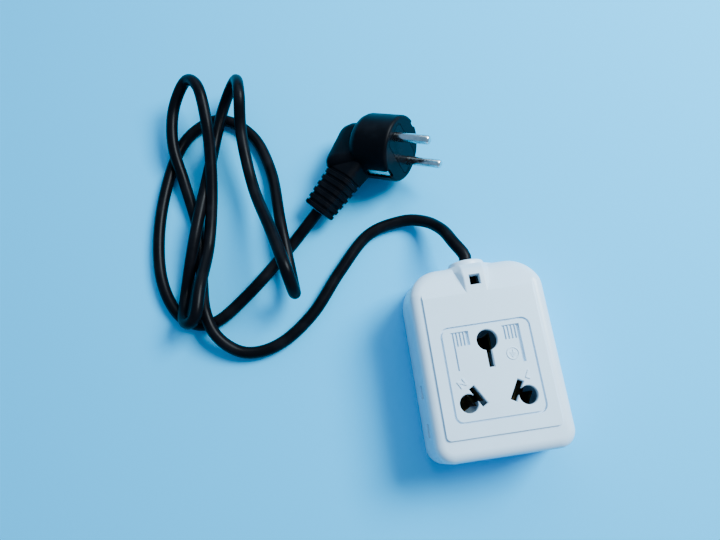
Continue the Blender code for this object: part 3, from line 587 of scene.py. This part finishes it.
def cutCombs(cover, face, look):
    for k, x in enumerate(look["leftTeeth"]):
        reach = look["short"] if k else look["long"]
        combine(cover, toothTool(face, look, x, look["thin"], reach), "DIFFERENCE")
    combine(cover, toothTool(face, look, look["leftWide"], look["wide"], look["short"]), "DIFFERENCE")
    for x in look["rightTeeth"]:
        combine(cover, toothTool(face, look, x, look["thin"], look["short"]), "DIFFERENCE")
    combine(cover, toothTool(face, look, look["rightWide"], look["wide"], look["long"]), "DIFFERENCE")
    for low, high in ((look["leftTeeth"][0] - look["barOver"], look["leftWide"]),
                      (look["rightTeeth"][0] - look["barOver"], look["rightWide"])):
        bar = addBlock("barTool", (low, look["combTop"] - look["bar"], face - look["barDepth"]),
                       (high, look["combTop"] + 0.02, face + look["above"]))
        combine(cover, bar, "DIFFERENCE")


snapLook = {"places": (-11.6, -28.5), "length": 6.0, "height": 5.0, "z": 22.0, "x": 31.0, "reach": 5.0}


def cutOpenings(cover, face, hood, snap):
    half = hood["window"]
    window = addBlock("windowTool", (-half, -half, hood["cordHeight"]), (half, half, face - holeLook["lip"]))
    flare(window, face, holeLook, (2 * half, 2 * half))
    window.location = (0.0, hood["windowY"] * mm, 0.0)
    combine(cover, settle(window), "DIFFERENCE")
    z = hood["cordHeight"]
    bore = addRod("boreTool", (0.0, hood["boreSouth"], z), (0.0, hood["boreNorth"], z), hood["bore"])
    combine(cover, bore, "DIFFERENCE")
    for side in (-1, 1):
        for y in snap["places"]:
            middle = Vector((side * snap["x"], y, snap["z"]))
            reach = Vector((snap["reach"], snap["length"] / 2, snap["height"] / 2))
            combine(cover, addBlock("snapTool", middle - reach, middle + reach), "DIFFERENCE")


def splitFlats(piece):                                   # keeps the step round the platform in later cuts
    editPick(piece, "FACE", lambda centre, facing: True)
    bpy.ops.mesh.quads_convert_to_tris(ngon_method="BEAUTY")
    bpy.ops.mesh.tris_convert_to_quads()
    bpy.ops.object.mode_set(mode="OBJECT")


def makeCover(look):
    face = look["faceTop"]
    cover = addShellBody("coverShell", look, 0.0, look["low"], look["top"], look["fillet"])
    combine(cover, addPlatform(look), "UNION")
    combine(cover, makeHood(face, hoodLook), "UNION")
    combine(cover, makeCollar(hoodLook), "UNION")
    splitFlats(cover)
    cavity = addShellBody("cavity", look, look["wall"], look["cavityLow"], face - look["roof"],
                          look["fillet"] - look["wall"])
    combine(cover, cavity, "DIFFERENCE")
    cutPinHoles(cover, face, holeLook)
    cutPanel(cover, face, panelLook)
    cutCombs(cover, face, panelLook)
    cutOpenings(cover, face, hoodLook, snapLook)
    clean(cover)
    dress(cover, coverPlastic, 22.0)
    evenNormals(cover)
    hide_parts("top_cover")
    return cover


coverShell = makeCover(coverLook)
print("cover made, faces:", len(coverShell.data.polygons))

markLook = {"rise": 0.4, "sink": 0.1, "bold": 0.06, "letter": 4.8,
            "neutral": (-14.0, -11.0, 28.0), "live": (14.3, -11.2, -28.0),
            "earth": (9.8, -1.4), "ring": 2.5, "line": 0.32, "earthTurn": -8.0, "half": 0.3,
            "bars": ((1.25, 0.35), (0.8, -0.45), (0.35, -1.25)), "stem": (0.3, 1.6)}


def makeLetter(name, letter, place, face, look):
    restPick()
    x, y, turn = place
    bpy.ops.object.text_add(location=(0.0, 0.0, 0.0))
    piece = bpy.context.object
    piece.name = name
    piece.data.body = letter
    piece.data.size = look["letter"] * mm
    piece.data.align_x = "CENTER"
    piece.data.align_y = "CENTER"
    piece.data.extrude = (look["rise"] + look["sink"]) / 2 * mm
    piece.data.offset = look["bold"] * mm
    bpy.ops.object.convert(target="MESH")
    piece = bpy.context.object
    piece.location = (x * mm, y * mm, (face + (look["rise"] - look["sink"]) / 2) * mm)
    piece.rotation_euler = (0.0, 0.0, math.radians(turn))
    settle(piece)
    clean(piece)
    return dress(piece, coverPlastic)


def makeEarthMark(face, look):
    x, y = look["earth"]
    restPick()
    bpy.ops.mesh.primitive_torus_add(major_radius=look["ring"] * mm, minor_radius=look["line"] * mm,
                                     major_segments=48, minor_segments=10, location=(0.0, 0.0, 0.0))
    mark = bpy.context.object
    mark.name = "earthMark"
    line, half = look["line"], look["half"]
    stemLow, stemHigh = look["stem"]
    bars = [addBlock("bar", (-wide, up - line, -half), (wide, up, half))
            for wide, up in look["bars"]]
    bars.append(addBlock("stem", (-line / 2, stemLow, -half), (line / 2, stemHigh, half)))
    restPick()
    for piece in (*bars, mark):
        piece.select_set(True)
    bpy.context.view_layer.objects.active = mark
    bpy.ops.object.join()
    mark.location = (x * mm, y * mm, face * mm)
    mark.rotation_euler = (0.0, 0.0, math.radians(look["earthTurn"]))
    settle(mark)
    return dress(mark, coverPlastic, 40.0)


makeLetter("neutralMark", "N", markLook["neutral"], coverLook["faceTop"], markLook)
makeLetter("liveMark", "L", markLook["live"], coverLook["faceTop"], markLook)
makeEarthMark(coverLook["faceTop"], markLook)
print("marks made")


# ---- plug, modelled with its pins along +X, then set in its place

plugLook = {"place": (-19.9, 106.5, 22.8), "azimuth": -29.0, "tilt": 25.0, "roll": 84.0, "radius": 16.3,
            "chamfer": 1.6, "drum": 18.0, "pinApart": 9.4, "pinRadius": 2.25, "pinLength": 18.6, "pinTail": 9.0,
            "spine": ((-20.0, 0.0, 0.0), (-22.5, 0.0, 10.0), (-25.5, -0.6, 19.0), (-29.2, -1.9, 29.5),
                      (-33.4, -3.6, 40.5)),
            "relief": (9.8, 7.4, 7.8, 5.5), "corner": 3.4, "plainStep": 2.0, "ribStart": 20.6, "ribs": 6,
            "ribPitch": 3.7, "ribGap": 1.5, "ribDepth": 0.7, "rearCorner": 4.4,
            "rear": ((14.0, 9.5, -10.0, 13.0), (22.0, 9.4, -9.6, 16.0), (30.0, 9.0, -8.6, 18.5),
                     (33.5, 8.2, -7.0, 19.0), (34.9, 7.3, -5.8, 18.2), (35.4, 6.4, -4.6, 17.2)),
            "carrier": (12.6, 7.0), "carrierCorner": 3.0, "pocketDepth": 14.5, "clipHalf": 2.6, "clipDepth": 13.3,
            "clipSlot": 2.2, "bridge": 2.3, "bridgeInset": 0.5, "cordHole": 3.35, "cordHoleDepth": 5.0,
            "pinRound": 1.5, "pinFoot": 0.4, "past": 3.0, "fine": 0.1, "ribSlope": 0.25,
            "mouth": ((0.7, 0.0), (0.2, 0.3), (0.0, 0.9)),
            "back": ((1.0, 0.985), (2.0, 0.945), (1.5, 0.91), (1.5, 0.86))}
plugTurn = Euler((math.radians(plugLook["roll"]), -math.radians(plugLook["tilt"]),
                  math.radians(plugLook["azimuth"])))
plugFrame = Matrix.Translation(Vector(plugLook["place"]) * mm) @ plugTurn.to_matrix().to_4x4()


def setInPlug(piece):
    piece.matrix_world = plugFrame
    return settle(piece)


def addSkin(name, sections, corner):
    first, half, thick = sections[0]                 # rounded face pulled through every section in turn
    restPick()
    bpy.ops.mesh.primitive_plane_add(size=2.0, location=(0.0, 0.0, 0.0))
    skin = bpy.context.object
    skin.name = name
    skin.scale = (half * mm, thick * mm, 1.0)
    settle(skin)
    bpy.ops.object.mode_set(mode="EDIT")
    bpy.ops.mesh.select_all(action="SELECT")
    bpy.ops.mesh.bevel(offset=corner * mm, segments=5, affect="VERTICES")
    bpy.ops.object.mode_set(mode="OBJECT")
    skin.matrix_world = first
    settle(skin)
    last, lastHalf, lastThick = sections[0]
    for spot, half, thick in sections[1:]:
        hold(skin)
        bpy.ops.object.mode_set(mode="EDIT")
        bpy.ops.mesh.extrude_region_move()
        bpy.ops.object.mode_set(mode="OBJECT")
        grow = Matrix.Diagonal((half / lastHalf, thick / lastThick, 1.0, 1.0))
        move = spot @ grow @ last.inverted()
        for vertex in skin.data.vertices:
            if vertex.select:
                vertex.co = move @ vertex.co
        last, lastHalf, lastThick = spot, half, thick
    clean(skin)
    return skin


def reliefSections(look):
    fine, slope = look["fine"], look["ribSlope"]
    path, length = evenPath(smoothPath([Vector(point) for point in look["spine"]], 32), fine)
    reach = [(k * look["plainStep"], 0.0) for k in range(int(look["ribStart"] / look["plainStep"]))]
    for k in range(look["ribs"]):
        start = look["ribStart"] + k * look["ribPitch"]
        reach += [(start, 0.0), (start + slope, look["ribDepth"]), (start + look["ribGap"], look["ribDepth"]),
                  (start + look["ribGap"] + slope, 0.0)]
    reach += [(length - before, cut) for before, cut in look["mouth"]]
    sections = []
    for along, cut in reach:
        k = min(round(along / fine), len(path) - 1)
        ahead = (path[min(k + 1, len(path) - 1)] - path[max(k - 1, 0)]).normalized()
        side = Vector((0.0, 1.0, 0.0)).cross(ahead).normalized()
        top = ahead.cross(side)
        turn = Matrix((side, top, ahead)).transposed().to_4x4()
        share = along / length
        wide, thick, endWide, endThick = look["relief"]
        sections.append((Matrix.Translation(path[k] * mm) @ turn,
                         wide + (endWide - wide) * share - cut, thick + (endThick - thick) * share - cut))
    return sections


def rearSections(look):
    sections = []
    turn = Matrix(((0.0, 0.0, -1.0), (1.0, 0.0, 0.0), (0.0, -1.0, 0.0))).to_4x4()
    for depth, half, low, high in look["rear"]:
        middle = Vector((-depth, 0.0, (low + high) / 2)) * mm
        sections.append((Matrix.Translation(middle) @ turn, half, (high - low) / 2))
    return sections


def makePlugBody(look):
    radius, drum = look["radius"], look["drum"]
    body = addRod("plugMoulding", (-drum, 0.0, 0.0), (0.0, 0.0, 0.0), radius, 96)
    for reach, size in look["back"]:
        pullFaces(body, lambda centre, facing: facing.x < -0.9, (-reach, 0.0, 0.0), (1.0, size, size))
    bevelEdges(body, lambda a, b: a.x > -near and b.x > -near, look["chamfer"], 4)
    combine(body, addSkin("rear", rearSections(look), look["rearCorner"]), "UNION")
    combine(body, addSkin("relief", reliefSections(look), look["corner"]), "UNION")
    wide, high = look["carrier"]
    pocket = addBlock("pocket", (-look["pocketDepth"], -wide, -high), (2.0, wide, high))
    bevelEdges(pocket, lambda a, b: abs(a.x - b.x) > 5.0, look["carrierCorner"], 6)
    combine(body, pocket, "DIFFERENCE")
    half, back = look["clipHalf"], -look["clipDepth"]
    for side in (-1, 1):
        edges = sorted((side * (radius - look["clipSlot"]), side * (radius + look["past"])))
        clipTool = addBlock("clipTool", (back, -half, edges[0]), (look["past"], half, edges[1]))
        combine(body, clipTool, "DIFFERENCE")
    reach = radius - look["bridgeInset"]
    bridgeTool = addBlock("bridgeTool", (back, -half, -reach), (back + look["bridge"], half, reach))
    combine(body, bridgeTool, "DIFFERENCE")
    end, before = Vector(look["spine"][-1]), Vector(look["spine"][-2])
    ahead = (end - before).normalized()
    cordTool = addRod("cordTool", end - ahead * look["cordHoleDepth"], end + ahead * look["past"],
                      look["cordHole"], 32)
    combine(body, cordTool, "DIFFERENCE")
    clean(body)
    setInPlug(body)
    dress(body, plugPvc, 32.0)
    evenNormals(body)
    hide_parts("plug_body")
    return body


def makePin(name, node, side, look):
    y = side * look["pinApart"]
    pin = addRod(name, (-look["pinTail"], y, 0.0), (look["pinLength"], y, 0.0), look["pinRadius"], 48)
    tip = look["pinLength"] - near
    bevelEdges(pin, lambda a, b: a.x > tip and b.x > tip, look["pinRound"], 6)
    bevelEdges(pin, lambda a, b: max(a.x, b.x) < -look["pinTail"] + near, look["pinFoot"], 2)
    clean(pin)
    setInPlug(pin)
    dress(pin, pinNickel, 40.0)
    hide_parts(node)
    return pin


plugMoulding = makePlugBody(plugLook)
upperPin = makePin("upperPin", "live_pin", 1, plugLook)
lowerPin = makePin("lowerPin", "neutral_pin", -1, plugLook)
print("plug made, faces:", len(plugMoulding.data.polygons))


# ---- finishes of the pieces that stay as the CAD made them

for name, material in (
        ("base_plate", basePlastic), ("cord_clamp", basePlastic), ("cord_tail", cordPvc),
        ("pin_carrier", carrierPlastic), ("earth_strip", pinNickel), ("live_contact", contactBrassPaintedShade),
        ("neutral_contact", contactBrassPaintedShade), ("earth_contact", contactBrassPaintedShade),
        ("live_terminal_screw", screwZinc), ("neutral_terminal_screw", screwZinc),
        ("earth_terminal_screw", screwZinc), ("clamp_screw_left", screwZinc), ("clamp_screw_right", screwZinc),
        ("live_conductor", strandCopper), ("neutral_conductor", strandCopper), ("earth_conductor", strandCopper),
        ("live_core", coreBrown), ("plug_live_core", coreBrown), ("neutral_core", coreBlue),
        ("plug_neutral_core", coreBlue), ("earth_core", coreEarth), ("plug_earth_core", coreEarth)):
    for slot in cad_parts[name].material_slots:
        slot.material = material
print("carried nodes finished")

cordLength * mm

# ---- floor and light

floorLook = {"size": 3.0, "colour": (0.004, 0.56, 0.98), "roughness": 0.8, "shine": 0.04}
restPick()
bpy.ops.mesh.primitive_plane_add(size=floorLook["size"], location=(0.0, 0.0, 0.0))
floor = bpy.context.object
floor.name = "floor"
floorFinish = Finish("floorPaper", floorLook["colour"], floorLook["roughness"])
floorFinish.shader.inputs["Specular IOR Level"].default_value = floorLook["shine"]
floor.data.materials.append(floorFinish.material)

lightLook = {"key": {"place": (0.55, 0.30, 0.70), "power": 22.0, "size": 0.40, "colour": (0.80, 0.93, 1.0)},
             "fill": {"place": (0.1, 0.9, 0.8), "power": 6.0, "size": 0.9, "colour": (0.6, 0.85, 1.0)}}


worldLook = {"colour": (0.30, 0.62, 1.0), "strength": 0.55, "aim": (-0.04, 0.05, 0.0)}


def addLight(name, look, aim):
    data = bpy.data.lights.new(name, "AREA")
    data.energy = look["power"]
    data.size = look["size"]
    data.color = look["colour"]
    light = bpy.data.objects.new(name, data)
    bpy.context.collection.objects.link(light)
    light.location = look["place"]
    light.rotation_euler = (Vector(aim) - light.location).to_track_quat("-Z", "Y").to_euler()


for lightName, look in lightLook.items():
    addLight(lightName, look, worldLook["aim"])
world = bpy.context.scene.world or bpy.data.worlds.new("world")
bpy.context.scene.world = world
world.use_nodes = True
sky = world.node_tree.nodes["Background"]
sky.inputs["Color"].default_value = rgba(*worldLook["colour"])
sky.inputs["Strength"].default_value = worldLook["strength"]
print("stage set")
